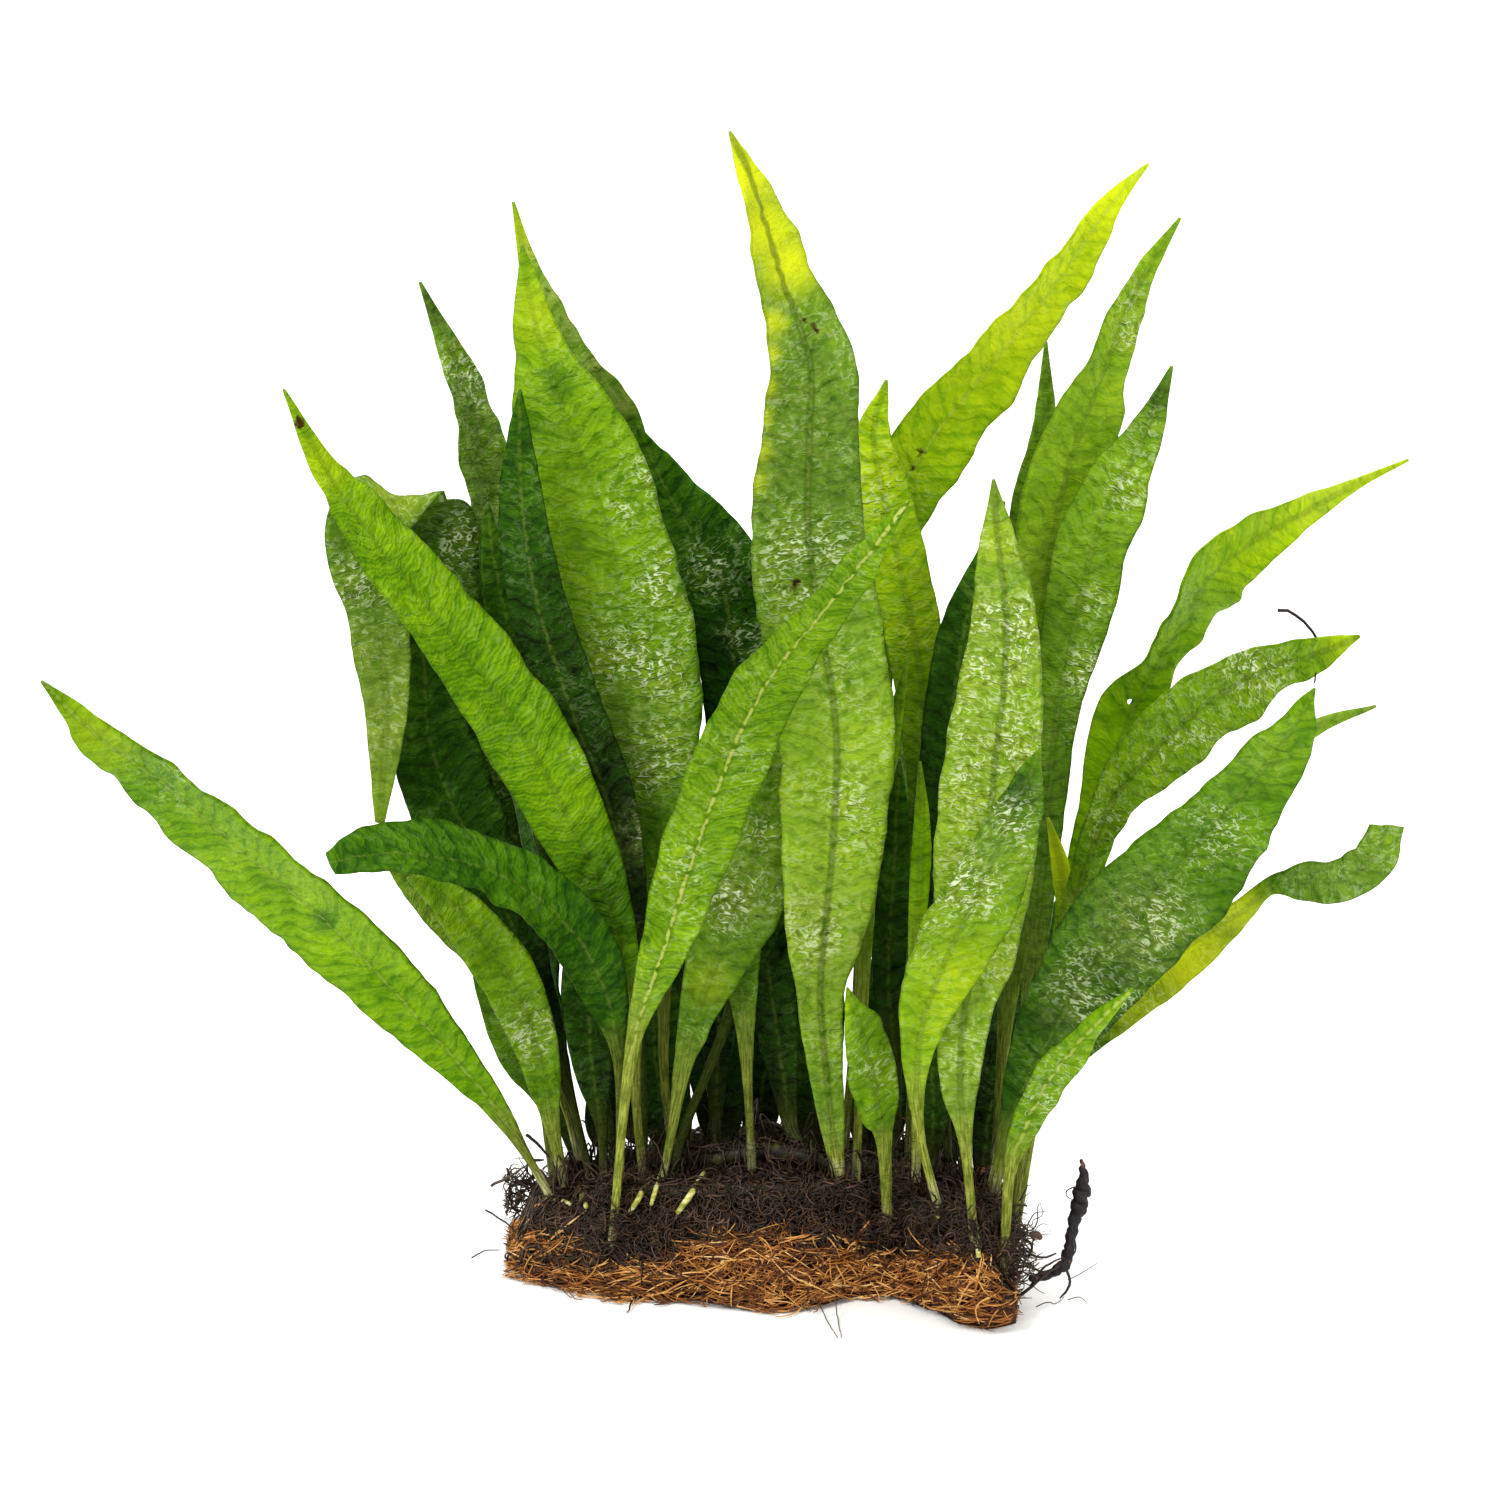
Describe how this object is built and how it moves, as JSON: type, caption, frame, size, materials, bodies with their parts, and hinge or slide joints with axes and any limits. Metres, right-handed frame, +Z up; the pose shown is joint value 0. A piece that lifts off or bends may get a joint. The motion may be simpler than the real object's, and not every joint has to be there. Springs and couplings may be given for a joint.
{
  "type": "java fern",
  "caption": "Aquarium java fern: a clump of long, pointed, wavy green fronds rising from creeping stems and dark roots on a thin coconut-fibre mat.",
  "frame": {"origin": "middle of the coir mat's flat underside, on the ground below the middle of the clump", "axes": "+Z up, -Y towards the front of the plant, +X along the mat to the right"},
  "size_m": [0.3405, 0.1738, 0.2987],
  "materials": {
    "frond_bright": "wet leaf, yellow-green, glossy",
    "frond_mid": "wet leaf, mid green, glossy",
    "frond_dark": "wet leaf, dark green, glossy",
    "frond_pale": "underside of a leaf, pale green, satin",
    "rhizome": "creeping stem, dark green-brown, rough",
    "root": "matted hair roots, brown-black, matt",
    "coir": "loose coconut fibre, orange-brown, matt"
  },
  "bodies": {
    "root": {"coir_mat": "coir", "root_cushion": "root", "stray_root": "root", "rhizome_front": "rhizome", "rhizome_right": "rhizome", "rhizome_middle": "rhizome", "rhizome_back": "rhizome", "frond_01": "frond_bright", "frond_02": "frond_bright", "frond_24": "frond_dark", "frond_25": "frond_bright", "frond_26": "frond_mid", "frond_25b": "frond_pale", "frond_27": "frond_dark", "frond_28": "frond_dark", "frond_05b": "frond_mid", "frond_29": "frond_dark", "frond_03": "frond_mid", "frond_04": "frond_mid", "frond_06": "frond_bright", "frond_05": "frond_pale", "frond_07": "frond_dark", "frond_09": "frond_bright", "frond_34": "frond_bright", "frond_31": "frond_mid", "frond_32": "frond_mid", "frond_08": "frond_bright", "frond_33": "frond_dark", "frond_42": "frond_dark", "frond_13": "frond_pale", "frond_10": "frond_bright", "frond_12": "frond_mid", "frond_35": "frond_dark", "frond_35b": "frond_bright", "frond_43": "frond_dark", "frond_36": "frond_dark", "frond_23": "frond_bright", "frond_15": "frond_bright", "frond_14": "frond_pale", "frond_21": "frond_dark", "frond_22": "frond_bright", "frond_20b": "frond_pale", "frond_20": "frond_mid", "frond_38": "frond_bright", "frond_19": "frond_bright", "frond_17": "frond_mid", "frond_39": "frond_dark", "frond_16": "frond_bright", "frond_18": "frond_mid", "frond_44": "frond_mid", "frond_45": "frond_dark", "frond_46": "frond_mid", "frond_47": "frond_dark", "frond_48": "frond_dark", "frond_49": "frond_dark", "frond_50": "frond_dark", "frond_51": "frond_dark", "frond_52": "frond_dark", "frond_53": "frond_dark"}
  },
  "joints": []
}
